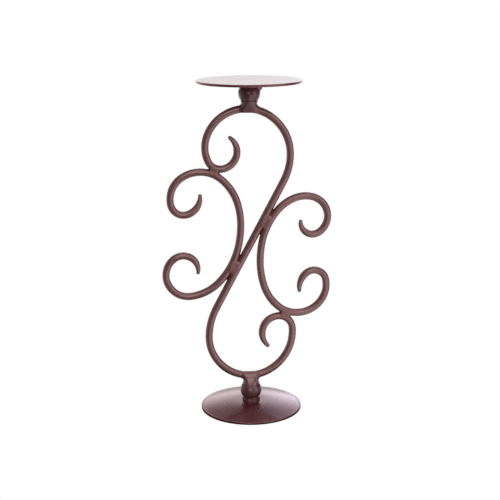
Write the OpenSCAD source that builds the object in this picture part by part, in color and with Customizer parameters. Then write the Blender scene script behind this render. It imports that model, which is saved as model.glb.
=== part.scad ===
// Scrolled iron stand for one pillar candle.
// A round bar bent into a tall S stands on a domed foot and carries a flat candle plate.
// A C-shaped scroll is welded to either side of the S, and balls with collars join it to the discs.
// Millimetres, +Z up, front towards -Y. The stem axis is the Z axis and the foot stands on z = 0.

/* [Discs] */
// Diameter of the candle plate
plate_d = 102; // [90:1:120]
// Diameter of the domed foot
foot_d = 101; // [90:1:120]
// Thickness of the sheet that both discs are pressed from
sheet_t = 2.4; // [1.5:0.1:3.5]
// Height of the crown of the foot above its rim
foot_rise = 5; // [2:0.5:10]
// Rounding along the upper edge of both discs
edge_r = 0.8; // [0.3:0.1:1.2]
// Width of the flat ring that the foot stands on
foot_ring_w = 2; // [1.5:0.5:5]
// Diameter of the flat land in the middle of the foot
land_d = 20; // [18:1:26]

/* [Balls] */
// Diameter of the two balls
ball_d = 21.2; // [18:0.2:26]
// Depth of the flat on each ball where it meets its disc
ball_flat = 0.15; // [0.1:0.05:0.5]

/* [Bar] */
// Diameter of the round bar of all three scrolls
bar_d = 7.5; // [6:0.1:9]
// Diameter of the drawn-out tips
tip_d = 3.4; // [2.4:0.2:5]
// Length over which each tip is drawn out
tip_taper = 22; // [12:1:30]

/* [Main scroll] */
// Slope of the straight diagonal, in degrees
main_slope = 62.4; // [58:0.2:66]
// Length of the straight diagonal
main_run = 144.5; // [130:0.5:160]
// Sideways place of the middle of the diagonal
main_shift = -0.7; // [-3:0.1:3]

/* [Side scrolls] */
// Depth to which the side scrolls are let into the diagonal
run_sink = 0.9; // [0.3:0.1:1.5]
// Depth to which the side scrolls are let into the curls
curl_sink = 0.9; // [0.2:0.1:1.2]
// Direction in which the left scroll leaves its lower tip, in degrees
left_lean = 72.4; // [66:0.1:80]
// The same angle of the right scroll, seen upside down
right_lean = 74.2; // [68:0.1:82]

/* [Collars] */
// Diameter of the collars between ball and bar
collar_d = 15.4; // [13:0.2:17]
// Outward sweep of each collar where it meets the bar
collar_flare = 1.4; // [0.4:0.2:2.4]
// How far each collar reaches past the middle of the bar
collar_wrap = 2; // [1:0.2:3]
// Gap between the lower ball and the bar, filled by its collar
lower_gap = 1.05; // [0.4:0.05:3]
// Gap between the upper ball and the bar, filled by its collar
upper_gap = 0.25; // [0.1:0.05:3]

/* [Welds] */
// Length of the beads along the diagonal
run_bead_l = 15; // [12:1:22]
// Length of the beads at the curls
curl_bead_l = 12; // [9:1:18]
// Height of the beads above the bars
bead_proud = 0.5; // [0.2:0.1:1]
// Width over each bead, across the two bars that it joins
bead_w = 10; // [8:0.5:12]
// Width over the ring of weld under the lower ball
lower_ring_w = 17.6; // [15:0.2:19]
// Thickness of that ring
lower_ring_d = 3; // [2.6:0.2:4]
// Width over the ring of weld on the upper ball
upper_ring_w = 20.4; // [18:0.2:22]
// Thickness of that ring
upper_ring_d = 4.8; // [4:0.2:6]
// Diameter of the lump of weld that hangs from the upper ring
lump_d = 5.2; // [4.6:0.2:6]

/* [Hidden] */

// Bend schedules. Each entry is [radius of the middle of the bar, angle turned], and every bend
// turns to the left along its schedule.
// The ends of the main scroll run from the diagonal to the tips.
main_upper = [[57, 27], [45.5, 50], [40.5, 112], [32.5, 40], [13.5, 84], [17, 134]];
main_lower = [[67, 27], [40.5, 35], [39.5, 85], [48, 65], [13, 95], [18, 134]];
// The side scrolls run from their outer tip, along the diagonal and past the curl of the main
// scroll to their inner tip.
left_bends = [[14.5, 142], [21.5, 153], [47.5, 40], [78, 30], [104, 12], [74, 16],
              [51, 32], [32, 78], [26.5, 65], [12.5, 95], [18, 85]];
right_bends = [[11.5, 144], [20, 133], [29.5, 33], [43.5, 28], [75, 28], [98, 12],
               [80.5, 17], [43.5, 31], [29, 140], [11.5, 116], [19.5, 68]];
// Places in the schedules: the bend that carries a ball, the curl, and the bends of the side
// scrolls that lie against the diagonal and against the curl.
seat_bend = 2;
curl_bend = 4;
left_on_run = 3;
left_on_curl = 7;
right_on_run = 4;
right_on_curl = 8;

bar_r = bar_d / 2;
tip_r = tip_d / 2;
ball_r = ball_d / 2;
collar_r = collar_d / 2;
// Facets round the bar, and the longest step along it in degrees and in millimetres
bar_sides = 16;
turn_step = 9;
long_step = 8;
// Angles of the rings that round each tip off
round_angles = [25, 50, 90];
// Reach of the stretches of bar that collars, seats and beads are cut with
seat_reach = 15;
curl_reach = 9;
run_reach = 20;
round_fn = 180;
// Points along a dome, a bead and a flare
curve_steps = 8;
// Rounding along the lower edge of both discs
lower_edge_r = 0.4;
// Rise of the rings of weld above the disc that they lie on, as a share of their thickness
ring_lift = 1 / 3;
// Place of the lump beside and below the middle of the upper ring
lump_out = 2.2;
lump_drop = 3.6;
// Depth to which a collar runs into its ball before the ball cuts it
bury = 0.5;

function along(h) = [cos(h), sin(h)];
function left_of(h) = [-sin(h), cos(h)];
function total(list, i = 0) = i == len(list) ? 0 : list[i] + total(list, i + 1);

// Bends laid out from a point and a heading: [start, heading, radius, angle, centre] each
function laid(bends, p, h, i = 0) = i == len(bends) ? [] :
    let (r = bends[i][0], turn = bends[i][1], c = p + r * left_of(h))
    concat([[p, h, r, turn, c]], laid(bends, c - r * left_of(h + turn), h + turn, i + 1));

function bend_length(bend) = bend[2] * bend[3] * PI / 180;
function bend_steps(bend) = ceil(max(abs(bend[3]) / turn_step, bend_length(bend) / long_step));

// Stations along laid bends: [point, heading, distance from the start of the first bend]
function bend_stations(bends) = [for (i = [0:len(bends) - 1])
    let (b = bends[i], n = bend_steps(b),
         from = i == 0 ? 0 : total([for (j = [0:i - 1]) bend_length(bends[j])]))
    for (k = [1:n]) let (h = b[1] + b[3] * k / n)
    [b[4] - b[2] * left_of(h), h, from + bend_length(b) * k / n]];

// Stations between the last two that round the tip off
function tip_stations(bends) =
    let (b = bends[len(bends) - 1], l = total([for (bend = bends) bend_length(bend)]))
    [for (a = round_angles)
     let (back = tip_r * (1 - cos(a)), h = b[1] + b[3] - back / b[2] * 180 / PI)
     [b[4] - b[2] * left_of(h), h, l - back]];

// All stations of one end, with the distance counted from the tip
function end_stations(bends) =
    let (l = total([for (bend = bends) bend_length(bend)]), tip = tip_stations(bends))
    concat([for (s = bend_stations(bends)) if (s[2] < l - tip_r * 1.5) [s[0], s[1], l - s[2]]],
           [for (k = [len(tip) - 1:-1:0]) [tip[k][0], tip[k][1], l - tip[k][2]]]);

// Radius of the bar at a distance from its tip
function bar_radius(d) =
    (tip_r + (bar_r - tip_r) * sin(90 * min(1, d / tip_taper)))
    * (d < tip_r ? sqrt(1 - pow(1 - d / tip_r, 2)) : 1);

// Rings of a bar: [point, heading, radius]
function forward_rings(stations) = [for (s = stations) [s[0], s[1], bar_radius(s[2])]];
function backward_rings(stations) = [for (k = [len(stations) - 1:-1:0])
    [stations[k][0], stations[k][1] + 180, bar_radius(stations[k][2])]];

// Ends of the main scroll, laid out from the middle of its diagonal
run_dir = along(main_slope);
run_left = left_of(main_slope);
function upper_from(p) = laid(main_upper, p + run_dir * main_run / 2, main_slope);
function lower_from(p) = laid(main_lower, p - run_dir * main_run / 2, main_slope + 180);

// Height at which a bend crosses the stem axis: side is 1 above its centre and -1 below
function crossing(bend, side) = bend[4][1] + side * sqrt(pow(bend[2], 2) - pow(bend[4][0], 2));

// The stack of pieces along the stem axis, from the foot up
crown_z = sheet_t + foot_rise;
lower_ball_z = crown_z + ball_r - ball_flat;
lower_seat_z = lower_ball_z + ball_r + lower_gap + bar_r;
middle = [main_shift, lower_seat_z - crossing(lower_from([main_shift, 0])[seat_bend], -1)];
upper_end = upper_from(middle);
lower_end = lower_from(middle);
upper_seat_z = crossing(upper_end[seat_bend], 1);
upper_ball_z = upper_seat_z + bar_r + upper_gap + ball_r;
plate_z = upper_ball_z + ball_r - ball_flat;

run_steps = ceil(main_run / long_step);
run_rings = [for (k = [0:run_steps])
    [middle + run_dir * main_run * (k / run_steps - 0.5), main_slope, bar_r]];
main_rings = concat(backward_rings(end_stations(lower_end)), run_rings,
                    forward_rings(end_stations(upper_end)));

// A side scroll lies beside the diagonal and touches it and one curl of the main scroll. side is 1
// for the left scroll, under the upper curl, and -1 for the right one, which is laid out in the
// same way but turned by half a turn.
run_seat = bar_d - run_sink;
curl_seat = bar_d - curl_sink;
function run_centre(bend, side) = side * run_left * (bend[2] + run_seat);

// Distance along the diagonal, from its middle, of the place where a side scroll touches it
function run_touch(bends, on_run, on_curl, curl, side) =
    let (w = middle + run_centre(bends[on_run], side) + bends[on_curl][4] - bends[on_run][4] - curl[4],
         u = side * run_dir,
         reach = bends[on_curl][2] + curl[2] + curl_seat)
    -w * u - sqrt(pow(w * u, 2) - w * w + pow(reach, 2));

// The bends of a side scroll laid out in their place
function seated(bends, lean, on_run, on_curl, curl, side) =
    let (h = lean + (side > 0 ? 0 : 180),
         loose = laid(bends, [0, 0], h),
         t = side * run_touch(loose, on_run, on_curl, curl, side),
         by = middle + run_dir * t + run_centre(loose[on_run], side) - loose[on_run][4])
    laid(bends, by, h);

left_side = seated(left_bends, left_lean, left_on_run, left_on_curl, upper_end[curl_bend], 1);
right_side = seated(right_bends, right_lean, right_on_run, right_on_curl, lower_end[curl_bend], -1);

// Rings of a side scroll from its outer to its inner tip. The first half of the schedule is
// walked backwards, so that both tips are drawn out alike.
function side_rings(set) =
    let (half = floor(len(set) / 2), joint = set[half],
         inner = [for (i = [half:len(set) - 1]) set[i]],
         outer = [for (i = [half - 1:-1:0]) reversed_bend(set[i])])
    concat(backward_rings(end_stations(outer)), [[joint[0], joint[1], bar_r]],
           forward_rings(end_stations(inner)));
// A bend walked from its end to its start turns to the right, which a negative radius stands for
function reversed_bend(b) =
    [b[4] - b[2] * left_of(b[1] + b[3]), b[1] + b[3] + 180, -b[2], -b[3], b[4]];

left_rings = side_rings(left_side);
right_rings = side_rings(right_side);

// Round bar through a row of rings
module bar(rings) {
    last = len(rings) - 1;
    points = [for (ring = rings) for (k = [0:bar_sides - 1])
        let (a = 360 * k / bar_sides, p = ring[0] + ring[2] * cos(a) * left_of(ring[1]))
        [p[0], ring[2] * sin(a), p[1]]];
    sides = [for (i = [0:last - 1]) for (k = [0:bar_sides - 1])
        let (a = i * bar_sides + k, b = i * bar_sides + (k + 1) % bar_sides)
        each [[a, b, b + bar_sides], [a, b + bar_sides, a + bar_sides]]];
    start_cap = [for (k = [bar_sides - 1:-1:0]) k];
    end_cap = [for (k = [0:bar_sides - 1]) last * bar_sides + k];
    polyhedron(points, concat([start_cap], sides, [end_cap]));
}

// Round stretch of bent bar, centred on the side of its bend that faces a point
module bent_stretch(bend, facing, reach) {
    way = facing - bend[4];
    half_angle = reach / bend[2] * 180 / PI;
    translate([bend[4][0], 0, bend[4][1]]) rotate([90, 0, 0])
        rotate_extrude(angle = 2 * half_angle, start = atan2(way[1], way[0]) - half_angle,
                       $fn = round_fn)
            translate([bend[2], 0]) circle(d = bar_d, $fn = round_fn);
}

module paint() color([0.29, 0.17, 0.17]) children();
module weld_paint() color([0.36, 0.22, 0.21]) children();

// Points along an arc, from one angle to another
function arc_points(centre, r, from, to) =
    [for (k = [0:curve_steps]) centre + r * along(from + (to - from) * k / curve_steps)];

// Edge of a disc, from its top face down its rim to its underside
function disc_edge(r) = concat(arc_points([r - edge_r, sheet_t - edge_r], edge_r, 90, 0),
    arc_points([r - lower_edge_r, lower_edge_r], lower_edge_r, 0, -90));

// Pressed dome: flat land in the middle, then a curve down to the flat ring at the rim
module foot() {
    foot_r = foot_d / 2;
    land_r = land_d / 2;
    dome_w = foot_r - foot_ring_w - land_r;
    dome = [for (k = [0:curve_steps]) let (t = k / curve_steps)
        [land_r + dome_w * t, foot_rise * (1 - t * t)]];
    underside = [for (k = [curve_steps:-1:0]) dome[k]];
    topside = [for (p = dome) p + [0, sheet_t]];
    paint() rotate_extrude($fn = round_fn)
        polygon(concat([[0, crown_z]], topside, disc_edge(foot_r), underside, [[0, foot_rise]]));
}

module candle_plate() {
    paint() translate([0, 0, plate_z]) rotate_extrude($fn = round_fn)
        polygon(concat([[0, sheet_t]], disc_edge(plate_d / 2), [[0, 0]]));
}

// Ball with a flat where it meets its disc, below it or above it
module ball(z, side) {
    paint() translate([0, 0, z]) difference() {
        sphere(r = ball_r, $fn = round_fn);
        translate([0, 0, side * (2 * ball_r - ball_flat)]) cube(2 * ball_r, center = true);
    }
}
module lower_ball() ball(lower_ball_z, -1);
module upper_ball() ball(upper_ball_z, 1);

// Ring of weld in the corner between a disc and its ball, with the disc at z = 0
module weld_ring(width, thick) {
    rotate_extrude($fn = round_fn) intersection() {
        square([width, thick * 2]);
        union() {
            translate([(width - thick) / 2, thick * ring_lift]) circle(d = thick, $fn = round_fn);
            square([(width - thick) / 2, thick * ring_lift]);
        }
    }
}
module lower_ball_weld() {
    weld_paint() difference() {
        translate([0, 0, crown_z]) weld_ring(lower_ring_w, lower_ring_d);
        translate([0, 0, lower_ball_z]) sphere(r = ball_r, $fn = round_fn);
    }
}
// The upper ring carries a lump of weld that stands out to the right. The poles of the lump face
// front and back, clear of the ring and the ball.
module upper_ball_weld() {
    ring_r = (upper_ring_w - upper_ring_d) / 2;
    ring_z = plate_z - upper_ring_d * ring_lift;
    weld_paint() difference() {
        union() {
            translate([0, 0, plate_z]) mirror([0, 0, 1]) weld_ring(upper_ring_w, upper_ring_d);
            translate([ring_r + lump_out, 0, ring_z - lump_drop]) rotate([90, 0, 0])
                sphere(d = lump_d, $fn = round_fn);
        }
        translate([0, 0, upper_ball_z]) sphere(r = ball_r, $fn = round_fn);
    }
}

// Collar from a ball at the origin up to the bar, whose middle lies at the height seat. Its front
// and back slope in until they run out on the bar.
module collar_blank(seat) {
    from = sqrt(pow(ball_r, 2) - pow(collar_r, 2)) - bury;
    to = seat + collar_wrap;
    flare_to = seat - bar_r;
    flare_from = flare_to - 2 * collar_flare;
    flare = [for (k = [0:curve_steps]) let (a = 90 * k / curve_steps)
        [collar_r + collar_flare * (1 - cos(a)), flare_from + 2 * collar_flare * sin(a)]];
    brim = [[collar_r + collar_flare, to], [0, to]];
    intersection() {
        rotate_extrude($fn = round_fn)
            polygon(concat([[0, from], [collar_r, from]], flare, brim));
        rotate([90, 0, 90]) linear_extrude(height = 4 * collar_r, center = true)
            polygon([[-collar_r, from], [collar_r, from], [bar_r, to], [-bar_r, to]]);
    }
}
module lower_collar() {
    paint() difference() {
        translate([0, 0, lower_ball_z]) collar_blank(lower_seat_z - lower_ball_z);
        translate([0, 0, lower_ball_z]) sphere(r = ball_r, $fn = round_fn);
        bent_stretch(lower_end[seat_bend], [0, lower_seat_z], seat_reach);
    }
}
module upper_collar() {
    paint() difference() {
        translate([0, 0, upper_ball_z]) mirror([0, 0, 1]) collar_blank(upper_ball_z - upper_seat_z);
        translate([0, 0, upper_ball_z]) sphere(r = ball_r, $fn = round_fn);
        bent_stretch(upper_end[seat_bend], [0, upper_seat_z], seat_reach);
    }
}

module main_scroll() {
    paint() bar(main_rings);
}

// Round stretch of the diagonal beside the centre of a bend
module run_stretch(centre) {
    foot_of_centre = middle + run_dir * ((centre - middle) * run_dir);
    translate([foot_of_centre[0], 0, foot_of_centre[1]]) rotate([0, 90 - main_slope, 0])
        cylinder(d = bar_d, h = 2 * run_reach, center = true, $fn = round_fn);
}

// A side scroll is let into the main scroll where it lies against the diagonal and the curl
module side_scroll(rings, run_bend, curl_side_bend, curl) {
    paint() difference() {
        bar(rings);
        run_stretch(run_bend[4]);
        bent_stretch(curl, curl_side_bend[4], curl_reach);
    }
}
module left_scroll()
    side_scroll(left_rings, left_side[left_on_run], left_side[left_on_curl], upper_end[curl_bend]);
module right_scroll()
    side_scroll(right_rings, right_side[right_on_run], right_side[right_on_curl], lower_end[curl_bend]);

// Bead of weld that fills the valleys on both sides of a place where two bars touch. It lies
// along the bars there and is dressed flat in front and behind.
module bead_blank(touch, h, length) {
    translate([touch[0], 0, touch[1]]) rotate([0, 90 - h, 0]) intersection() {
        rotate_extrude($fn = round_fn / 2)
            polygon([for (k = [0:2 * curve_steps]) let (a = 90 * (k / curve_steps - 1))
                [bead_w / 2 * cos(a), length / 2 * sin(a)]]);
        cube([2 * bead_w, bar_d + 2 * bead_proud, 2 * length], center = true);
    }
}
module run_weld(bend, side) {
    touch = bend[4] - side * run_left * (bend[2] + run_seat / 2);
    weld_paint() difference() {
        bead_blank(touch, main_slope, run_bead_l);
        run_stretch(bend[4]);
        bent_stretch(bend, touch, run_reach);
    }
}
module curl_weld(bend, curl) {
    way = (bend[4] - curl[4]) / norm(bend[4] - curl[4]);
    touch = curl[4] + way * (curl[2] + curl_seat / 2);
    weld_paint() difference() {
        bead_blank(touch, atan2(way[1], way[0]) + 90, curl_bead_l);
        bent_stretch(curl, touch, curl_reach);
        bent_stretch(bend, touch, curl_reach);
    }
}
module left_run_weld() run_weld(left_side[left_on_run], 1);
module right_run_weld() run_weld(right_side[right_on_run], -1);
module left_curl_weld() curl_weld(left_side[left_on_curl], upper_end[curl_bend]);
module right_curl_weld() curl_weld(right_side[right_on_curl], lower_end[curl_bend]);

foot();
lower_ball_weld();
lower_ball();
lower_collar();
main_scroll();
left_scroll();
right_scroll();
left_curl_weld();
left_run_weld();
right_curl_weld();
right_run_weld();
upper_collar();
upper_ball();
upper_ball_weld();
candle_plate();
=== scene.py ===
"""Scrolled iron candle holder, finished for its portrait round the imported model.

Shapes are worked out in millimetres, with the same sizes and bend schedules as the part's own
source, and go to Blender in metres. Every piece is a closed surface on a grid of two parameters.
"""

import math

import bpy
import numpy as np
from mathutils import Matrix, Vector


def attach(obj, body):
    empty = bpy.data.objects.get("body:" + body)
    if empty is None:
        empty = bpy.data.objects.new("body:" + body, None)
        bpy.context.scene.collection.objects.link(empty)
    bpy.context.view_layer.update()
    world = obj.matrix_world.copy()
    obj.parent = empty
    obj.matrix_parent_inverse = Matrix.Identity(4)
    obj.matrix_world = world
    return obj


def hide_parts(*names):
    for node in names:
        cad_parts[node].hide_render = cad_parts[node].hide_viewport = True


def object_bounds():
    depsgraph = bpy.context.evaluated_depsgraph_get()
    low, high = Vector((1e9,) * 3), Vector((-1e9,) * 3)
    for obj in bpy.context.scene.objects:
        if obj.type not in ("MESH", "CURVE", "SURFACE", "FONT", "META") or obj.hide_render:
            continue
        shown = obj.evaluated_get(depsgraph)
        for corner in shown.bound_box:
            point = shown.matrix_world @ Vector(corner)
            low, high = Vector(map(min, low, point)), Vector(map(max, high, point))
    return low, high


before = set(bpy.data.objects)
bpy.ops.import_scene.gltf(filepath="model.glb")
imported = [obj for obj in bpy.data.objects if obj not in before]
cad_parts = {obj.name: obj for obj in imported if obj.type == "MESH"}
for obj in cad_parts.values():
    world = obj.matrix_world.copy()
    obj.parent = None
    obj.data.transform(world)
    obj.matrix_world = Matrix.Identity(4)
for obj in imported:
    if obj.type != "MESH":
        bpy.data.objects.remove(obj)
cad_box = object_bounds()

MM = 0.001
BOX_LOW, BOX_HIGH = (np.array(corner) / MM for corner in cad_box)

# Discs: diameters, thickness, rise of the foot, its ring and its flat land, and rounded edges
PLATE_D, FOOT_D, SHEET = 102.0, 101.0, 2.4
FOOT_RISE, FOOT_RING_W, LAND_D = 5.0, 2.0, 20.0
EDGE_R, LOWER_EDGE_R = 0.8, 0.4

# Balls, and the flat on each where it meets its disc
BALL_R, BALL_FLAT = 10.6, 0.15

# Bar and its tips, how much a tight bend squeezes it flat, and its shallow dents with the
# lengths of their two waves
BAR_R, TIP_R, TIP_TAPER = 3.75, 1.7, 22.0
SQUEEZE = 0.35
DENT, SHORT_WAVE, LONG_WAVE = 0.02, 6.1, 14.7

# Collars: radius, gaps that they fill, depth of their foot in the ball, roundings of their sides
# and of their end, and fillets to the bar and to the ball
COLLAR_R, LOWER_GAP, UPPER_GAP, COLLAR_SINK = 7.7, 1.05, 0.25, 3.2
COLLAR_SIDE_R, COLLAR_END_R, COLLAR_BAR_FILLET, COLLAR_BALL_FILLET = 1.6, 1.0, 3.0, 2.8

# Rings of weld between the balls and the discs, and how their bead swells and narrows on the way
# round: waves, start and share of the ripple
LOWER_RING_W, LOWER_RING_D, UPPER_RING_W, UPPER_RING_D, RING_LIFT = 17.6, 3.0, 20.4, 4.8, 1 / 3
RING_FILLET, RING_RIPPLE = 0.8, 0.25
RIPPLE_WAVES = [(3, 0.8, 0.5), (7, 2.1, 0.35), (19, 0.0, 0.3)]
LUMP_D, LUMP_OUT, LUMP_DROP, LUMP_FILLET = 5.2, 2.2, 3.6, 1.5

# Welds between the bars: the cake's length and width, the height of its face over the plane of
# the scrolls, and the web's fillets at the cake and deep in the valley. Then the cake's rounded
# edge and its fillet to the bars, and how the web fades out
RUN_BEAD = {"cake_l": 13.0, "cake_w": 8.4, "face": 3.95, "fillet": 2.8, "deep": 1.3}
CURL_BEAD = {"cake_l": 8.0, "cake_w": 6.0, "face": 3.6, "fillet": 2.4, "deep": 2.0}
CAKE_EDGE_R, CAKE_FILLET = 1.2, 1.4
WEB_FULL, WEB_LEAST = 1.02, 0.0004

# Bend schedules: radius of the middle of the bar and angle turned, one after the other
MAIN_SLOPE, MAIN_RUN, MAIN_SHIFT = 62.4, 144.5, -0.7
MAIN_UPPER = [(57, 27), (45.5, 50), (40.5, 112), (32.5, 40), (13.5, 84), (17, 134)]
MAIN_LOWER = [(67, 27), (40.5, 35), (39.5, 85), (48, 65), (13, 95), (18, 134)]
LEFT_BENDS = [(14.5, 142), (21.5, 153), (47.5, 40), (78, 30), (104, 12), (74, 16),
              (51, 32), (32, 78), (26.5, 65), (12.5, 95), (18, 85)]
RIGHT_BENDS = [(11.5, 144), (20, 133), (29.5, 33), (43.5, 28), (75, 28), (98, 12),
               (80.5, 17), (43.5, 31), (29, 140), (11.5, 116), (19.5, 68)]
LEFT_LEAN, RIGHT_LEAN = 72.4, 74.2

# Depths that the bars are let into one another, and the places of the welded bends in the schedules
RUN_SINK, CURL_SINK = 0.9, 0.9
SEAT_BEND, CURL_BEND = 2, 4
LEFT_ON_RUN, LEFT_ON_CURL, RIGHT_ON_RUN, RIGHT_ON_CURL = 3, 7, 4, 8


# Bends in their place

def along(heading):
    """Unit vector in the plane of the scrolls, heading in degrees from +X towards +Z."""
    return np.array([math.cos(math.radians(heading)), math.sin(math.radians(heading))])


def left_of(heading):
    """Unit vector to the left of a heading."""
    return along(heading + 90)


def lay_bends(bends, start, heading):
    """Each bend as (start, heading, radius, turn, centre): all turn left, end to end."""
    laid = []
    for radius, turn in bends:
        centre = start + radius * left_of(heading)
        laid.append((start, heading, radius, turn, centre))
        heading += turn
        start = centre - radius * left_of(heading)
    return laid


def crossing(bend, side):
    """Height at which a bend crosses the stem axis, above (1) or below (-1) its centre."""
    return bend[4][1] + side * math.sqrt(bend[2] ** 2 - bend[4][0] ** 2)


RUN_DIR, RUN_LEFT = along(MAIN_SLOPE), left_of(MAIN_SLOPE)
CROWN_Z = SHEET + FOOT_RISE
LOWER_BALL_Z = CROWN_Z + BALL_R - BALL_FLAT
LOWER_SEAT_Z = LOWER_BALL_Z + BALL_R + LOWER_GAP + BAR_R
LOOSE_LOWER = lay_bends(MAIN_LOWER, np.array([MAIN_SHIFT, 0.0]) - RUN_DIR * MAIN_RUN / 2,
                        MAIN_SLOPE + 180)
MIDDLE = np.array([MAIN_SHIFT, LOWER_SEAT_Z - crossing(LOOSE_LOWER[SEAT_BEND], -1)])
UPPER_END = lay_bends(MAIN_UPPER, MIDDLE + RUN_DIR * MAIN_RUN / 2, MAIN_SLOPE)
LOWER_END = lay_bends(MAIN_LOWER, MIDDLE - RUN_DIR * MAIN_RUN / 2, MAIN_SLOPE + 180)
UPPER_SEAT_Z = crossing(UPPER_END[SEAT_BEND], 1)
UPPER_BALL_Z = UPPER_SEAT_Z + BAR_R + UPPER_GAP + BALL_R
PLATE_Z = UPPER_BALL_Z + BALL_R - BALL_FLAT


def seat_side_scroll(bends, lean, on_run, on_curl, curl, side):
    """Bends of a side scroll, slid along the diagonal until they also touch the curl: the
    distance between the centres of the two touching bends is the sum of their radii and of one
    bar's diameter, less the depth that one bar is let into the other."""
    heading = lean + (0 if side > 0 else 180)
    loose = lay_bends(bends, np.zeros(2), heading)
    centre = side * RUN_LEFT * (loose[on_run][2] + 2 * BAR_R - RUN_SINK)
    w = MIDDLE + centre + loose[on_curl][4] - loose[on_run][4] - curl[4]
    u = side * RUN_DIR
    reach = loose[on_curl][2] + curl[2] + 2 * BAR_R - CURL_SINK
    t = side * (-w @ u - math.sqrt((w @ u) ** 2 - w @ w + reach ** 2))
    return lay_bends(bends, MIDDLE + RUN_DIR * t + centre - loose[on_run][4], heading)


LEFT_SIDE = seat_side_scroll(LEFT_BENDS, LEFT_LEAN, LEFT_ON_RUN, LEFT_ON_CURL,
                             UPPER_END[CURL_BEND], 1)
RIGHT_SIDE = seat_side_scroll(RIGHT_BENDS, RIGHT_LEAN, RIGHT_ON_RUN, RIGHT_ON_CURL,
                              LOWER_END[CURL_BEND], -1)


# Middle lines of the bars

LINE_STEP = 0.25
EASE = 7.0


def arc_length(radius, turn):
    """Length of a bend along the middle of the bar."""
    return radius * math.radians(turn)


def bar_line(stretches, anchor, heading, anchor_at):
    """Middle line of a bar from its stretches of (length, curvature). A bar can't change its
    curvature at once, so the curvature is averaged over a few millimetres. Its integral from
    the anchor gives the heading, and the integral of the heading gives the places."""
    ends = np.cumsum([length for length, bend in stretches])
    count = int(round(ends[-1] / LINE_STEP)) + 1
    s = np.linspace(0, ends[-1], count)
    step = s[1]
    index = np.minimum(np.searchsorted(ends, s), len(stretches) - 1)
    bend = np.array([b for length, b in stretches])[index]
    half = int(EASE / 2 / step)
    window = np.hanning(2 * half + 3)[1:-1]
    bend = np.convolve(np.pad(bend, half, mode="edge"), window / window.sum(), mode="valid")
    turned = np.concatenate([[0], np.cumsum((bend[1:] + bend[:-1]) / 2 * step)])
    angle = math.radians(heading) + turned - np.interp(anchor_at, s, turned)
    tangent = np.stack([np.cos(angle), np.sin(angle)], 1)
    way = np.concatenate([np.zeros((1, 2)),
                          np.cumsum((tangent[1:] + tangent[:-1]) / 2 * step, axis=0)])
    offset = [np.interp(anchor_at, s, way[:, k]) for k in (0, 1)]
    place = anchor + way - np.array(offset)
    to_tip = np.minimum(s, s[-1] - s)
    radius = TIP_R + (BAR_R - TIP_R) * np.sin(np.pi / 2 * np.minimum(1, to_tip / TIP_TAPER))
    return {"s": s, "place": place, "tangent": tangent, "bend": bend, "radius": radius}


def side_line(laid):
    """Line of a side scroll, anchored in the middle, where it is welded."""
    lengths = [arc_length(b[2], b[3]) for b in laid]
    half = len(laid) // 2
    return bar_line([(l, 1 / b[2]) for l, b in zip(lengths, laid)],
                    laid[half][0], laid[half][1], sum(lengths[:half]))


LOWER_LENGTHS = [arc_length(r, t) for r, t in MAIN_LOWER]
MAIN_LINE = bar_line([(l, -1 / b[0]) for l, b in zip(LOWER_LENGTHS[::-1], MAIN_LOWER[::-1])]
                     + [(MAIN_RUN, 0.0)] + [(arc_length(r, t), 1 / r) for r, t in MAIN_UPPER],
                     MIDDLE, MAIN_SLOPE, sum(LOWER_LENGTHS) + MAIN_RUN / 2)
LEFT_LINE, RIGHT_LINE = side_line(LEFT_SIDE), side_line(RIGHT_SIDE)


def touch_on_run(bend, side):
    """Place where a side scroll touches the diagonal, and the heading of the bars there."""
    return bend[4] - side * RUN_LEFT * (bend[2] + BAR_R - RUN_SINK / 2), MAIN_SLOPE


def touch_on_curl(bend, curl):
    """Place where a side scroll touches a curl, and the heading of the bars there."""
    way = (bend[4] - curl[4]) / np.linalg.norm(bend[4] - curl[4])
    place = curl[4] + way * (curl[2] + BAR_R - CURL_SINK / 2)
    return place, math.degrees(math.atan2(way[1], way[0])) + 90


# Each weld: first word of its name, place and heading, side bar, half the length of its web, and
# how far the middle of the web lies from the place
RUN_WELDS = [("left", *touch_on_run(LEFT_SIDE[LEFT_ON_RUN], 1), LEFT_LINE, 17.2, -1.7),
             ("right", *touch_on_run(RIGHT_SIDE[RIGHT_ON_RUN], -1), RIGHT_LINE, 15.5, 0.0)]
CURL_WELDS = [("left", *touch_on_curl(LEFT_SIDE[LEFT_ON_CURL], UPPER_END[CURL_BEND]),
               LEFT_LINE, 7.0, 0.0),
              ("right", *touch_on_curl(RIGHT_SIDE[RIGHT_ON_CURL], LOWER_END[CURL_BEND]),
               RIGHT_LINE, 7.0, 0.0)]


# Distances from surfaces

# Stretch of bar that a field covers, and the valleys of painted shade: how far from the weld they
# are looked for, half their thickness, and how fast they fade
FIELD_REACH = 26.0
VALLEY_REACH, VALLEY_HALF, VALLEY_FADE = 22.0, 3.6, 2.4


def smooth(t):
    """Smooth step from 0 at 0 to 1 at 1."""
    return t * t * (3 - 2 * t)


def ball_field(z):
    """Distance from a ball on the stem axis, below zero inside it."""
    return lambda p: np.sqrt(p[:, 0] ** 2 + p[:, 1] ** 2 + (p[:, 2] - z) ** 2) - BALL_R


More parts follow.
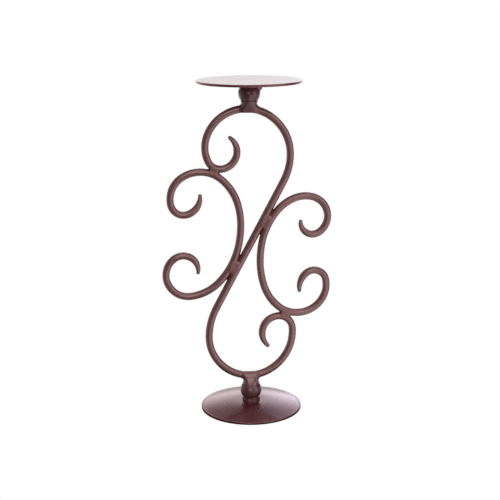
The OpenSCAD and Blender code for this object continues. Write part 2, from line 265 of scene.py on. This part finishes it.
def bar_field(line, near):
    """Distance from a bar, below zero inside it. The nearest station of its middle line is found,
    and the distance is taken from the circle that has the line's place, heading and curvature
    there."""
    keep = np.hypot(*(line["place"] - near).T) < FIELD_REACH
    place, tangent = line["place"][keep][::2], line["tangent"][keep][::2]
    bend, radius, s = (line[k][keep][::2] for k in ("bend", "radius", "s"))

    def field(p):
        flat = p[:, [0, 2]]
        i = ((flat[:, None, :] - place[None]) ** 2).sum(2).argmin(1)
        off = flat - place[i]
        u = (off * tangent[i]).sum(1)
        v = off[:, 1] * tangent[i, 0] - off[:, 0] * tangent[i, 1]
        k = bend[i]
        a = k * (u * u + v * v) - 2 * v
        d = a / (1 + np.sqrt(np.maximum(1 + k * a, 1e-9)))
        return np.hypot(d, p[:, 1]) - np.interp(s[i] + u, s, radius)
    return field


def join(a, b, fillet):
    """The two fields as one, with a fillet where they meet."""
    h = np.clip(0.5 + 0.5 * (b - a) / fillet, 0, 1)
    return b * (1 - h) + a * h - fillet * h * (1 - h)


def common(a, b, rounding):
    """The space that two fields share, with its edges rounded."""
    return -join(-a, -b, rounding)


def valley_depth(points):
    """How deep points lie in a valley between two welded bars, from 0 to 1: exp(-(d / fade)^2),
    with d the distance from the further bar, going to 0 at the front and back of the bars.
    It is the mask of the painted shade in those valleys."""
    depth = np.zeros(len(points))
    for word, touch, heading, line, web, slide in RUN_WELDS + CURL_WELDS:
        near = np.hypot(points[:, 0] - touch[0], points[:, 2] - touch[1]) < VALLEY_REACH
        if near.any():
            p = points[near]
            d = np.maximum(bar_field(MAIN_LINE, touch)(p), bar_field(line, touch)(p))
            inside = smooth(np.clip(VALLEY_HALF - np.abs(p[:, 1]), 0, 1))
            here = inside * np.exp(-(np.maximum(d, 0) / VALLEY_FADE) ** 2)
            depth[near] = np.maximum(depth[near], here)
    return depth


# Meshes from grids of points

def shell(name, grid, node, finish, ends=True):
    """Closed skin over a grid of points [row, column, xyz] in millimetres. Columns close on
    themselves. Rows close on themselves too, or with ends they close to a point at either end,
    in the middle of the first and last row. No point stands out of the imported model's box. The
    volume inside says which way round the faces go, so that they point outwards."""
    rows, columns = grid.shape[:2]
    index = np.arange(rows * columns).reshape(rows, columns)
    a, b = (index[:-1], index[1:]) if ends else (index, np.roll(index, -1, axis=0))
    quads = np.stack([a, np.roll(a, -1, 1), np.roll(b, -1, 1), b], -1).reshape(-1, 4)
    points = np.clip(grid.reshape(-1, 3), BOX_LOW, BOX_HIGH)
    corners = quads.ravel()
    sizes = np.full(len(quads), 4)
    if ends:
        points = np.vstack([points, grid[0].mean(0), grid[-1].mean(0)])
        first, last = index[0], index[-1]
        start = np.stack([np.full(columns, rows * columns), np.roll(first, -1), first], -1)
        stop = np.stack([np.full(columns, rows * columns + 1), last, np.roll(last, -1)], -1)
        corners = np.concatenate([corners, start.ravel(), stop.ravel()])
        sizes = np.concatenate([sizes, np.full(2 * columns, 3)])
    starts = np.cumsum(sizes) - sizes
    p, q, r, s = (points[corners[starts + np.minimum(k, sizes - 1)]] for k in range(4))
    six_volumes = np.einsum("ij,ij->", p, np.cross(q, r) + np.cross(r, s))
    if six_volumes < 0:
        corners = corners[(2 * starts + sizes - 1).repeat(sizes) - np.arange(len(corners))]
    mesh = bpy.data.meshes.new(name)
    mesh.vertices.add(len(points))
    mesh.vertices.foreach_set("co", (points * MM).astype(np.float32).ravel())
    mesh.loops.add(len(corners))
    mesh.loops.foreach_set("vertex_index", corners.astype(np.int32))
    mesh.polygons.add(len(sizes))
    mesh.polygons.foreach_set("loop_start", starts.astype(np.int32))
    mesh.polygons.foreach_set("use_smooth", np.ones(len(sizes), bool))
    # Depth in the valleys between welded bars, which the paint reads as a mask of painted shade
    depth = mesh.attributes.new("valley", "FLOAT", "POINT")
    depth.data.foreach_set("value", valley_depth(points).astype(np.float32))
    mesh.update(calc_edges=True)
    mesh.validate()
    mesh.materials.append(finish)
    piece = bpy.data.objects.new(name, mesh)
    bpy.context.scene.collection.objects.link(piece)
    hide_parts(node)
    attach(piece, "root")


def circle_angles(count):
    """Angles of points all the way round, in radians."""
    return np.arange(count) * 2 * np.pi / count


BAR_SIDES, BAR_PITCH = 40, 1.25
TIP_ANGLES = [12, 24, 36, 48, 60, 72, 84]


def round_bar(name, line, node, finish):
    """Bar round a middle line: place + radius (cos a, sin a) across and out of the plane. A tight
    bend squeezes the bar a little flat. Each tip is closed by a rounded end."""
    total = line["s"][-1]
    tip = TIP_R * (1 - np.cos(np.radians(TIP_ANGLES)))
    inner = np.linspace(tip[-1], total - tip[-1], int(total / BAR_PITCH))
    s = np.concatenate([tip[:-1], inner, total - tip[-2::-1]])
    at = {k: np.interp(s, line["s"], line[k]) for k in ("bend", "radius")}
    place = np.stack([np.interp(s, line["s"], line["place"][:, k]) for k in (0, 1)], 1)
    tangent = np.stack([np.interp(s, line["s"], line["tangent"][:, k]) for k in (0, 1)], 1)
    to_tip = np.minimum(s, total - s)
    rounding = np.sqrt(np.maximum(0, 1 - np.maximum(0, 1 - to_tip / TIP_R) ** 2))
    angle = circle_angles(BAR_SIDES)
    squeeze = SQUEEZE * (at["bend"] * at["radius"]) ** 2
    radius = (at["radius"] * rounding)[:, None] * (1 - squeeze[:, None] * np.cos(2 * angle))
    dent = DENT * (1 + np.sin(s / SHORT_WAVE) * np.sin(s / LONG_WAVE + 1)) * rounding
    radius = radius - dent[:, None]
    across, out = radius * np.cos(angle), radius * np.sin(angle)
    grid = np.stack([place[:, :1] - tangent[:, 1:] * across, out,
                     place[:, 1:] + tangent[:, :1] * across], -1)
    shell(name, grid, node, finish)


def turned(name, profile, node, finish, sides=256):
    """Profile of (radius, height) turned round the stem axis, closed on the axis at both ends."""
    angle = circle_angles(sides)
    r, z = profile[:, 0], profile[:, 1]
    grid = np.stack([np.outer(r, np.cos(angle)), np.outer(r, np.sin(angle)),
                     np.repeat(z[:, None], sides, 1)], -1)
    shell(name, grid, node, finish)


# Skins over places where pieces run into one another

# Depth of a skin below the bare pieces, filling at which it is up, and steps and halvings of a ray
SINK, SHOW = 0.12, 0.06
RAY_STEPS, RAY_HALVINGS = 28, 12

# Rows and columns of the skins, and the longest and shortest rays
AXIS_ROWS, BEAD_ROWS, AXIS_COLUMNS = 90, 100, 96
RING_ROWS, RING_COLUMNS = 144, 40
COLLAR_FAR, BEAD_FAR, RING_FAR, LEAST_REACH = 12.0, 9.5, 8.0, 0.02
COLLAR_SPARE = 0.6


def skin_reach(filled, bare, start, way, far):
    """Distance along rays from inside, at which they leave the filled field. Where the filling
    adds nothing to the bare pieces, the skin lies a little below their surface."""
    def depth(t):
        p = start + way * t[:, None]
        f = filled(p)
        return f + SINK * (1 - smooth(np.clip((bare(p) - f) / SHOW, 0, 1)))
    inner, outer = np.zeros(len(start)), np.full(len(start), np.nan)
    for k in range(1, RAY_STEPS + 1):
        t = np.full(len(start), far * k / RAY_STEPS)
        out = np.isnan(outer) & (depth(t) > 0)
        outer[out] = t[out]
        still = np.isnan(outer)
        inner[still] = t[still]
    beyond = np.isnan(outer)
    outer[beyond] = far
    inner[beyond] = far
    for _ in range(RAY_HALVINGS):
        mid = (inner + outer) / 2
        out = depth(mid) > 0
        outer = np.where(out, mid, outer)
        inner = np.where(out, inner, mid)
    return (inner + outer) / 2


def axis_skin(name, filled, bare, start, way, length, side, far, node, finish, rows=AXIS_ROWS):
    """Skin round a straight axis: rays go out square to it all the way round, and it closes to a
    point at either end."""
    along_axis = np.sin(np.linspace(-np.pi / 2, np.pi / 2, rows + 2)[1:-1]) * length / 2
    angle = circle_angles(AXIS_COLUMNS)
    square = np.cross(way, side)
    rays = np.cos(angle)[:, None] * side + np.sin(angle)[:, None] * square
    starts = np.repeat((start + along_axis[:, None] * way)[:, None, :], AXIS_COLUMNS, 1)
    ways = np.broadcast_to(rays, starts.shape)
    flat_starts, flat_ways = starts.reshape(-1, 3), ways.reshape(-1, 3)
    t = skin_reach(filled, bare, flat_starts, flat_ways, far)
    grid = (flat_starts + flat_ways * np.maximum(t, LEAST_REACH)[:, None]).reshape(*starts.shape)
    shell(name, grid, node, finish)


def collar_skin(name, node, finish, ball_z, seat_z, line, wrap, front):
    """Collar between a ball and the bar. Its core is a round post whose front and back slope in,
    until they are front away from the plane of the scrolls. It ends wrap past the middle of the
    bar, and it flows into the ball and the bar in fillets."""
    up = 1 if seat_z > ball_z else -1
    ball, bar = ball_field(ball_z), bar_field(line, np.array([0.0, seat_z]))
    low, high = ball_z + up * (BALL_R - COLLAR_SINK), seat_z + up * wrap
    span = abs(high - low)

    def filled(p):
        rise = (p[:, 2] - low) * up
        slope = COLLAR_R + (front - COLLAR_R) * np.clip(rise / span, 0, 1)
        post = np.hypot(p[:, 0], p[:, 1]) - COLLAR_R
        core = common(post, np.abs(p[:, 1]) - slope, COLLAR_SIDE_R)
        core = common(core, rise - span, COLLAR_END_R)
        core = join(core, bar(p), COLLAR_BAR_FILLET)
        return join(core, ball(p), COLLAR_BALL_FILLET)

    def bare(p):
        return np.minimum(ball(p), bar(p))
    middle = np.array([0.0, 0.0, (low + high) / 2])
    axis_skin(name, filled, bare, middle, np.array([0.0, 0.0, 1.0]), span + COLLAR_SPARE,
              np.array([1.0, 0.0, 0.0]), COLLAR_FAR, node, finish)


def bead_skin(name, node, finish, touch, heading, line, web, slide, cake_l, cake_w, face, fillet,
              deep):
    """Weld between two bars that lie side by side. A web fills the valleys between the bars as
    far as they are close, and fades out at its ends. A flat oval cake of weld covers the place
    where they touch and runs out into both bars in fillets. slide is the distance of the web's
    middle from that place, and deep is the web's fillet away from the cake, where it lies deep
    in the valley."""
    point = np.array([touch[0], 0.0, touch[1]])
    way = np.array([along(heading)[0], 0.0, along(heading)[1]])
    side = np.array([left_of(heading)[0], 0.0, left_of(heading)[1]])
    first, second = bar_field(MAIN_LINE, touch), bar_field(line, touch)

    def filled(p):
        u, v = (p - point) @ way, (p - point) @ side
        oval = (np.hypot(2 * u / cake_l, 2 * v / cake_w) - 1) * cake_w / 2
        cake = common(oval, np.abs(p[:, 1]) - face, CAKE_EDGE_R)
        fade = np.sqrt(np.clip(WEB_FULL - ((u - slide) / web) ** 4, WEB_LEAST, 1))
        near = np.exp(-(2 * u / cake_l) ** 4)
        bars = join(first(p), second(p), (deep + (fillet - deep) * near) * fade)
        return join(bars, cake, CAKE_FILLET)

    def bare(p):
        return np.minimum(first(p), second(p))
    axis_skin(name, filled, bare, point + slide * way, way, 2 * web, side, BEAD_FAR, node, finish,
              rows=BEAD_ROWS)


def ring_skin(name, node, finish, disc_z, ball_z, width, thick, lump=None):
    """Ring of weld in the corner between a disc and its ball. Rays go out all round from a circle
    inside the ring, so that the skin is a closed ring too. The ring's thickness swells and
    narrows round the ball as the bead was laid. A lump is (x, y, z, radius)."""
    up = 1 if ball_z > disc_z else -1
    ball = ball_field(ball_z)
    ring_r, ring_z = (width - thick) / 2, disc_z + up * thick * RING_LIFT
    turn, tilt = np.meshgrid(circle_angles(RING_ROWS), circle_angles(RING_COLUMNS), indexing="ij")
    turn, tilt = turn.ravel(), tilt.ravel()

    def disc(p):
        return np.abs((p[:, 2] - disc_z) * up + SHEET / 4) - SHEET / 4

    def filled(p):
        round_axis = np.hypot(p[:, 0], p[:, 1])
        a = np.arctan2(p[:, 1], p[:, 0])
        swell = RING_RIPPLE * sum(share * np.sin(waves * a + begin)
                                  for waves, begin, share in RIPPLE_WAVES)
        bead = np.hypot(round_axis - ring_r, p[:, 2] - ring_z) - thick / 2 - swell
        if lump is not None:
            drop = np.sqrt(((p - lump[:3]) ** 2).sum(1)) - lump[3]
            bead = join(bead, drop, LUMP_FILLET)
        return join(join(bead, disc(p), RING_FILLET), ball(p), RING_FILLET)

    def bare(p):
        return np.minimum(ball(p), disc(p))
    start = np.stack([ring_r * np.cos(turn), ring_r * np.sin(turn), np.full(len(turn), ring_z)], 1)
    way = np.stack([np.cos(turn) * np.cos(tilt), np.sin(turn) * np.cos(tilt), np.sin(tilt)], 1)
    t = skin_reach(filled, bare, start, way, RING_FAR)
    grid = (start + way * t[:, None]).reshape(RING_ROWS, RING_COLUMNS, 3)
    shell(name, grid, node, finish, ends=False)


# Nodes that the finishes and the studio share

def feed(tree, value, socket):
    """Gives a socket its value, which is another socket's or a plain one."""
    if isinstance(value, bpy.types.NodeSocket):
        tree.links.new(value, socket)
    else:
        socket.default_value = value


def number(tree, operation, *values):
    """Number worked out from sockets and plain numbers."""
    node = tree.nodes.new("ShaderNodeMath")
    node.operation = operation
    for value, socket in zip(values, node.inputs):
        feed(tree, value, socket)
    return node.outputs[0]


def smooth_mask(tree, value, low, high):
    """Mask that goes smoothly from 0 at low to 1 at high."""
    node = tree.nodes.new("ShaderNodeMapRange")
    node.interpolation_type = "SMOOTHSTEP"
    node.inputs["From Min"].default_value = low
    node.inputs["From Max"].default_value = high
    tree.links.new(value, node.inputs["Value"])
    return node.outputs["Result"]


def between(tree, mask, low, high):
    """Number that goes from low to high as a mask goes from 0 to 1."""
    node = tree.nodes.new("ShaderNodeMapRange")
    node.inputs["To Min"].default_value = low
    node.inputs["To Max"].default_value = high
    tree.links.new(mask, node.inputs["Value"])
    return node.outputs["Result"]


def blend(tree, mask, a, b):
    """Colour that goes from a to b as a mask goes from 0 to 1."""
    node = tree.nodes.new("ShaderNodeMix")
    node.data_type = "RGBA"
    for value, socket in ((mask, "Factor"), (a, "A"), (b, "B")):
        feed(tree, value, node.inputs[socket])
    return node.outputs["Result"]


def vector(tree, operation, value, other=None):
    """Outputs of a vector node that works on value, with a plain vector where it needs one."""
    node = tree.nodes.new("ShaderNodeVectorMath")
    node.operation = operation
    tree.links.new(value, node.inputs[0])
    if other is not None:
        node.inputs[1].default_value = other
    return node.outputs


def compass_mask(tree, level, azimuth, full, none):
    """Mask round the compass, from a level unit vector: 1 up to full degrees from an azimuth
    (0 behind the camera, 90 to the right) and 0 beyond none."""
    towards = (math.sin(math.radians(azimuth)), -math.cos(math.radians(azimuth)), 0)
    facing = vector(tree, "DOT_PRODUCT", level, towards)["Value"]
    return smooth_mask(tree, facing, math.cos(math.radians(none)), math.cos(math.radians(full)))


def seen_or_mirrored(tree, seen, mirrored, surface):
    """The camera sees one shader, and the paint mirrors the other."""
    ray, mix = tree.nodes.new("ShaderNodeLightPath"), tree.nodes.new("ShaderNodeMixShader")
    tree.links.new(ray.outputs["Is Camera Ray"], mix.inputs["Fac"])
    tree.links.new(mirrored.outputs[0], mix.inputs[1])
    tree.links.new(seen.outputs[0], mix.inputs[2])
    tree.links.new(mix.outputs[0], surface)


# Finishes

def paint_marks():
    """Marks that all the paint has: slow changes of tone where it lies thicker, fine cloudiness,
    and the faint pebbling of sprayed paint as a normal."""
    tree = bpy.data.node_groups.new("paint_marks", "ShaderNodeTree")
    sockets = tree.interface.new_socket
    for name, value in (("Tone size", 60.0), ("Cloud size", 420.0), ("Pebble size", 1100.0),
                        ("Pebble depth", 0.12)):
        sockets(name=name, in_out="INPUT", socket_type="NodeSocketFloat").default_value = value
    sockets(name="Tone", in_out="OUTPUT", socket_type="NodeSocketFloat")
    sockets(name="Cloud", in_out="OUTPUT", socket_type="NodeSocketFloat")
    sockets(name="Normal", in_out="OUTPUT", socket_type="NodeSocketVector")
    given, out = tree.nodes.new("NodeGroupInput"), tree.nodes.new("NodeGroupOutput")
    place = tree.nodes.new("ShaderNodeTexCoord")

    def noise(size, detail):
        node = tree.nodes.new("ShaderNodeTexNoise")
        node.inputs["Detail"].default_value = detail
        tree.links.new(place.outputs["Object"], node.inputs["Vector"])
        tree.links.new(given.outputs[size], node.inputs["Scale"])
        return node.outputs["Fac"]
    bump = tree.nodes.new("ShaderNodeBump")
    bump.inputs["Distance"].default_value = PEBBLE_HEIGHT
    for value, socket in (
            (smooth_mask(tree, noise("Tone size", 3), 0.35, 0.65), out.inputs["Tone"]),
            (smooth_mask(tree, noise("Cloud size", 4), 0.3, 0.7), out.inputs["Cloud"]),
            (noise("Pebble size", 2), bump.inputs["Height"]),
            (given.outputs["Pebble depth"], bump.inputs["Strength"]),
            (bump.outputs["Normal"], out.inputs["Normal"])):
        tree.links.new(value, socket)
    return tree


def paint(name, dark, light, roughness, flake, coat, coat_roughness, tone_size, pebble_depth,
          pebble_size=1100, painted_valley_shade=False):
    """Satin paint with a share of metal flake: its colour goes from dark to light with the tone
    and the cloudiness, and its gloss changes a little with them. Deep in the valleys between
    welded bars it can be darkened and its coat thinned, as painted shade."""
    material = bpy.data.materials.new(name)
    material.use_nodes = True
    tree = material.node_tree
    surface = tree.nodes["Principled BSDF"].inputs
    marks = tree.nodes.new("ShaderNodeGroup")
    marks.node_tree = MARKS
    marks.inputs["Tone size"].default_value = tone_size
    marks.inputs["Pebble size"].default_value = pebble_size
    marks.inputs["Pebble depth"].default_value = pebble_depth
    patches = number(tree, "MULTIPLY", marks.outputs["Tone"], TONE_SHARE)
    shade = number(tree, "MULTIPLY_ADD", marks.outputs["Cloud"], CLOUD_SHARE, patches)
    ramp = tree.nodes.new("ShaderNodeValToRGB")
    ramp.color_ramp.elements[0].color = (*dark, 1)
    ramp.color_ramp.elements[1].color = (*light, 1)
    tree.links.new(shade, ramp.inputs["Fac"])
    colour = ramp.outputs["Color"]
    # Painted shade: darker colour and a thinner clear coat deep in the valleys between welded bars
    if painted_valley_shade:
        valley = tree.nodes.new("ShaderNodeAttribute")
        valley.attribute_name = "valley"
        valley_shade_colour = (*[value * share for value, share in zip(dark, VALLEY_SHADE_SHARE)], 1)
        colour = blend(tree, valley.outputs["Fac"], colour, valley_shade_colour)
        coat = between(tree, valley.outputs["Fac"], coat, coat * VALLEY_SHADE_COAT)
    feed(tree, colour, surface["Base Color"])
    feed(tree, coat, surface["Coat Weight"])
    feed(tree, between(tree, marks.outputs["Cloud"], *roughness), surface["Roughness"])
    feed(tree, marks.outputs["Normal"], surface["Normal"])
    surface["Metallic"].default_value = flake
    surface["Coat Roughness"].default_value = coat_roughness
    return material


# Shares of tone and cloudiness in the colour, height of the pebbling in metres, and what is left
# of the colour and of the clear coat deep in a valley, where the paint is darkened as painted shade
TONE_SHARE, CLOUD_SHARE = 0.6, 0.4
PEBBLE_HEIGHT = 0.0002
VALLEY_SHADE_SHARE, VALLEY_SHADE_COAT = (0.4, 0.16, 0.16), 0.2
MARKS = paint_marks()
BAR_PAINT = paint("bar_paint", (0.205, 0.083, 0.084), (0.245, 0.101, 0.102),
                  roughness=(0.27, 0.33), flake=0.46, coat=1.0, coat_roughness=0.20,
                  tone_size=55, pebble_depth=0.03, painted_valley_shade=True)
# Balls: a darker copy of the bar paint with less gloss, painted shade from the plate above and the
# foot below
BALL_SHADED_PAINT = paint("ball_shaded_paint", (0.120, 0.041, 0.043), (0.145, 0.050, 0.052),
                   roughness=(0.23, 0.29), flake=0.23, coat=0.38, coat_roughness=0.14,
                   tone_size=55, pebble_depth=0.04)
# Upper collar: a darker copy of the bar paint, painted shade under the plate
UPPER_COLLAR_SHADED_PAINT = paint("upper_collar_shaded_paint", (0.150, 0.053, 0.053), (0.178, 0.064, 0.064),
                     roughness=(0.25, 0.31), flake=0.34, coat=0.6, coat_roughness=0.18,
                     tone_size=55, pebble_depth=0.03)
# Lower collar: a copy of the bar paint darkened halfway towards the balls' painted shade
NECK_HALF_SHADED_PAINT = paint("neck_half_shaded_paint", (0.172, 0.066, 0.067), (0.205, 0.080, 0.081),
                   roughness=(0.25, 0.31), flake=0.40, coat=0.8, coat_roughness=0.18,
                   tone_size=55, pebble_depth=0.03)
# Lower ring of weld: a dark copy of the weld paint, painted shade under the lower ball
LOWER_RING_SHADED_PAINT = paint("lower_ring_shaded_paint", (0.110, 0.030, 0.034), (0.130, 0.036, 0.041),
                   roughness=(0.32, 0.38), flake=0.20, coat=0.1, coat_roughness=0.20,
                   tone_size=55, pebble_depth=0.05)
DISC_PAINT = paint("disc_paint", (0.152, 0.031, 0.038), (0.170, 0.035, 0.043),
                   roughness=(0.25, 0.29), flake=0.42, coat=1.0, coat_roughness=0.16,
                   tone_size=40, pebble_depth=0.008)
WELD_PAINT = paint("weld_paint", (0.215, 0.085, 0.086), (0.275, 0.112, 0.113),
                   roughness=(0.32, 0.42), flake=0.44, coat=0.7, coat_roughness=0.26,
                   tone_size=160, pebble_depth=0.12, pebble_size=700, painted_valley_shade=True)


# The pieces

NEAR_AXIS = 0.5


def arc(centre, radius, start, stop, count):
    """Points on a circle, from one angle to another in degrees."""
    angle = np.radians(np.linspace(start, stop, count))
    return np.stack([centre[0] + radius * np.cos(angle), centre[1] + radius * np.sin(angle)], 1)


def disc_edge(radius):
    """Rim of a disc from its top to its underside, with rounded edges."""
    return np.vstack([arc((radius - EDGE_R, SHEET - EDGE_R), EDGE_R, 90, 0, 10),
                      arc((radius - LOWER_EDGE_R, LOWER_EDGE_R), LOWER_EDGE_R, 0, -90, 7)])


def foot_profile():
    """Flat land under the ball, then height = rise (1 - t^2) down to the ring at the rim."""
    radius, land = FOOT_D / 2, LAND_D / 2
    t = np.linspace(0, 1, 40)
    dome = np.stack([land + (radius - FOOT_RING_W - land) * t, FOOT_RISE * (1 - t * t)], 1)
    flat = np.array([[NEAR_AXIS, FOOT_RISE], [land / 2, FOOT_RISE]])
    return np.vstack([flat + [0, SHEET], dome + [0, SHEET], disc_edge(radius), dome[::-1],
                      flat[::-1]])


def plate_profile():
    """Flat top and underside, with the rim between them."""
    radius = PLATE_D / 2
    inner = np.linspace(NEAR_AXIS, radius - EDGE_R - 0.3, 24)
    top = np.stack([inner, np.full(24, SHEET)], 1)
    under = np.stack([inner[::-1], np.zeros(24)], 1)
    return np.vstack([top, disc_edge(radius), under]) + [0, PLATE_Z]


def ball(name, node, z, side):
    """Sphere with a flat where it stands on its disc (side -1) or carries it (side 1)."""
    angle = np.radians(np.linspace(-88, 88, 60))
    profile = np.stack([BALL_R * np.cos(angle), BALL_R * np.sin(angle)], 1)
    profile[:, 1] = np.clip(profile[:, 1], -BALL_R + (BALL_FLAT if side < 0 else 0),
                            BALL_R - (BALL_FLAT if side > 0 else 0))
    turned(name, profile + [0, z], node, BALL_SHADED_PAINT, sides=96)


def build_pieces():
    """All fifteen pieces of the stand."""
    turned("foot_pressing", foot_profile(), "foot", DISC_PAINT)
    turned("plate_pressing", plate_profile(), "candle_plate", DISC_PAINT)
    ball("lower_ball_turned", "lower_ball", LOWER_BALL_Z, -1)
    ball("upper_ball_turned", "upper_ball", UPPER_BALL_Z, 1)
    round_bar("main_scroll_bar", MAIN_LINE, "main_scroll", BAR_PAINT)
    round_bar("left_scroll_bar", LEFT_LINE, "left_scroll", BAR_PAINT)
    round_bar("right_scroll_bar", RIGHT_LINE, "right_scroll", BAR_PAINT)
    collar_skin("lower_collar_skin", "lower_collar", NECK_HALF_SHADED_PAINT, LOWER_BALL_Z, LOWER_SEAT_Z,
                MAIN_LINE, wrap=2.6, front=3.8)
    collar_skin("upper_collar_skin", "upper_collar", UPPER_COLLAR_SHADED_PAINT, UPPER_BALL_Z, UPPER_SEAT_Z,
                MAIN_LINE, wrap=3.2, front=3.9)
    ring_skin("lower_ring_bead", "lower_ball_weld", LOWER_RING_SHADED_PAINT, CROWN_Z, LOWER_BALL_Z,
              LOWER_RING_W, LOWER_RING_D)
    lump = np.array([(UPPER_RING_W - UPPER_RING_D) / 2 + LUMP_OUT, 0.0,
                     PLATE_Z - UPPER_RING_D * RING_LIFT - LUMP_DROP, LUMP_D / 2])
    ring_skin("upper_ring_bead", "upper_ball_weld", WELD_PAINT, PLATE_Z, UPPER_BALL_Z,
              UPPER_RING_W, UPPER_RING_D, lump)
    for part, welds, sizes in (("run", RUN_WELDS, RUN_BEAD), ("curl", CURL_WELDS, CURL_BEAD)):
        for word, *weld in welds:
            bead_skin(f"{word}_{part}_bead", f"{word}_{part}_weld", WELD_PAINT, *weld, **sizes)


build_pieces()


# Studio

SOFT_EDGE = 9.0

# Soft areas: name, azimuth, half the width, lowest and highest elevation, strength
WALL_LIGHT = 0.02
SOFT_AREAS = [("main_softbox", 62, 16, -15, 58, 1.45),
              ("front_softbox", -6, 14, 3, 33, 2.1),
              ("right_front", 34, 9, 13, 34, 1.1),
              ("front_high", 0, 45, 35, 60, 0.8),
              ("back_right", 158, 13, 4, 30, 0.75),
              ("back_right_high", 154, 16, 28, 55, 0.68),
              ("back_wall", 182, 20, -12, 12, 0.26),
              ("back_wall_high", 186, 22, 7, 26, 1.28),
              ("back_band", 172, 18, 12, 11, 2.6),
              ("back_left_high", 205, 18, 30, 52, 0.4),
              ("left_wall", -100, 26, -15, 30, 0.5),
              ("left_high", -60, 22, 25, 60, 0.4),
              ("overhead_front", 0, 60, 60, 81, 1.15),
              ("overhead_back", 180, 50, 60, 81, 1.5)]

# Tint of the light: plain in front and low down, and going over to warm on the left and cool on
# the right towards the back and higher up, over these parts of the view direction
PLAIN, WARM, COOL = (1, 0.985, 0.985, 1), (1.03, 0.90, 0.94, 1), (0.97, 0.95, 1.09, 1)
LEFT_TO_RIGHT, FRONT_TO_BACK, LOW_TO_HIGH = (-0.15, 0.15), (-0.2, 0.5), (0.05, 0.32)

# Pools of light on the floor: azimuth, half the width, strength and, if they don't start at the
# foot, the distances in metres between which they rise
FLOOR_LIGHT = 0.05
FLOOR_POOLS = [(47, 31, 0.85), (0, 26, 0.28, (0.9, 0.4)), (95, 30, 0.2), (-95, 30, 0.4),
               (180, 60, 0.5), (185, 45, 0.7, (0.3, 0.6))]
FOOT_SHADE = (0.052, 0.085)
FLOOR_HALF, FLOOR_DROP = 6.0, 0.0002


def studio_world():
    """White all round for the camera. The paint mirrors a studio of big soft areas, each with
    edges that fade over twice SOFT_EDGE degrees."""
    world = bpy.data.worlds.new("studio")
    bpy.context.scene.world = world
    world.use_nodes = True
    tree = world.node_tree
    tree.nodes.clear()
    place, split = tree.nodes.new("ShaderNodeTexCoord"), tree.nodes.new("ShaderNodeSeparateXYZ")
    tree.links.new(place.outputs["Generated"], split.inputs[0])
    flat = vector(tree, "MULTIPLY", place.outputs["Generated"], (1, 1, 0))[0]
    level = vector(tree, "NORMALIZE", flat)[0]
    light = WALL_LIGHT
    for name, azimuth, half_width, low, high, strength in SOFT_AREAS:
        across = compass_mask(tree, level, azimuth, half_width - SOFT_EDGE, half_width + SOFT_EDGE)
        up_from, down_from = (
            smooth_mask(tree, split.outputs["Z"], math.sin(math.radians(a)), math.sin(math.radians(b)))
            for a, b in ((low - SOFT_EDGE, low + SOFT_EDGE), (high + SOFT_EDGE, high - SOFT_EDGE)))
        area = number(tree, "MULTIPLY", across, number(tree, "MULTIPLY", up_from, down_from))
        light = number(tree, "MULTIPLY_ADD", area, strength, light)
        light.node.name = name
    sides = blend(tree, smooth_mask(tree, split.outputs["X"], *LEFT_TO_RIGHT), WARM, COOL)
    tinted = number(tree, "MULTIPLY", smooth_mask(tree, split.outputs["Y"], *FRONT_TO_BACK),
                    smooth_mask(tree, split.outputs["Z"], *LOW_TO_HIGH))
    seen, lit = tree.nodes.new("ShaderNodeBackground"), tree.nodes.new("ShaderNodeBackground")
    seen.inputs["Color"].default_value = (1, 1, 1, 1)
    feed(tree, blend(tree, tinted, PLAIN, sides), lit.inputs["Color"])
    feed(tree, light, lit.inputs["Strength"])
    out = tree.nodes.new("ShaderNodeOutputWorld")
    seen_or_mirrored(tree, seen, lit, out.inputs["Surface"])


def studio_floor():
    """Plain pale floor, white for the camera. The paint mirrors pools of light on it, in front,
    on both sides and behind, and shade close round the foot."""
    mesh = bpy.data.meshes.new("studio_floor")
    h = FLOOR_HALF
    mesh.from_pydata([(x, y, -FLOOR_DROP) for x, y in ((-h, -h), (h, -h), (h, h), (-h, h))],
                     [], [(0, 1, 2, 3)])
    material = bpy.data.materials.new("pale_floor")
    material.use_nodes = True
    tree = material.node_tree
    tree.nodes.remove(tree.nodes["Principled BSDF"])
    place = tree.nodes.new("ShaderNodeTexCoord").outputs["Object"]
    level = vector(tree, "NORMALIZE", place)[0]
    distance = vector(tree, "LENGTH", place)["Value"]
    light = FLOOR_LIGHT
    for azimuth, half_width, strength, *rise in FLOOR_POOLS:
        across = compass_mask(tree, level, azimuth, half_width - SOFT_EDGE,
                              half_width + 2 * SOFT_EDGE)
        if rise:
            strength = number(tree, "MULTIPLY", smooth_mask(tree, distance, *rise[0]), strength)
        light = number(tree, "MULTIPLY_ADD", across, strength, light)
    light = number(tree, "MULTIPLY", light, smooth_mask(tree, distance, *FOOT_SHADE))
    seen, lit = tree.nodes.new("ShaderNodeEmission"), tree.nodes.new("ShaderNodeEmission")
    seen.inputs["Strength"].default_value = 1.0
    feed(tree, light, lit.inputs["Strength"])
    seen_or_mirrored(tree, seen, lit, tree.nodes["Material Output"].inputs["Surface"])
    mesh.materials.append(material)
    floor = bpy.data.objects.new("studio_floor", mesh)
    bpy.context.scene.collection.objects.link(floor)


def portrait_camera():
    """Camera as the photograph's: place, pitch and roll from the outlines of both discs."""
    focal_px, picture_px, sensor = 1101.1, 500, 36.0
    pitch, roll = math.radians(13.99), math.radians(-0.371)
    place = (-0.00015, -1.0522, 0.4258)
    data = bpy.data.cameras.new("portrait")
    data.sensor_width = sensor
    data.lens = focal_px * sensor / picture_px
    data.clip_start, data.clip_end = 0.05, 60
    camera = bpy.data.objects.new("portrait", data)
    bpy.context.scene.collection.objects.link(camera)
    turn = Matrix.Rotation(math.pi / 2 - pitch, 4, "X") @ Matrix.Rotation(roll, 4, "Z")
    camera.matrix_world = Matrix.Translation(place) @ turn
    bpy.context.scene.camera = camera


studio_world()
studio_floor()
portrait_camera()
bpy.context.scene.view_settings.view_transform = "Standard"
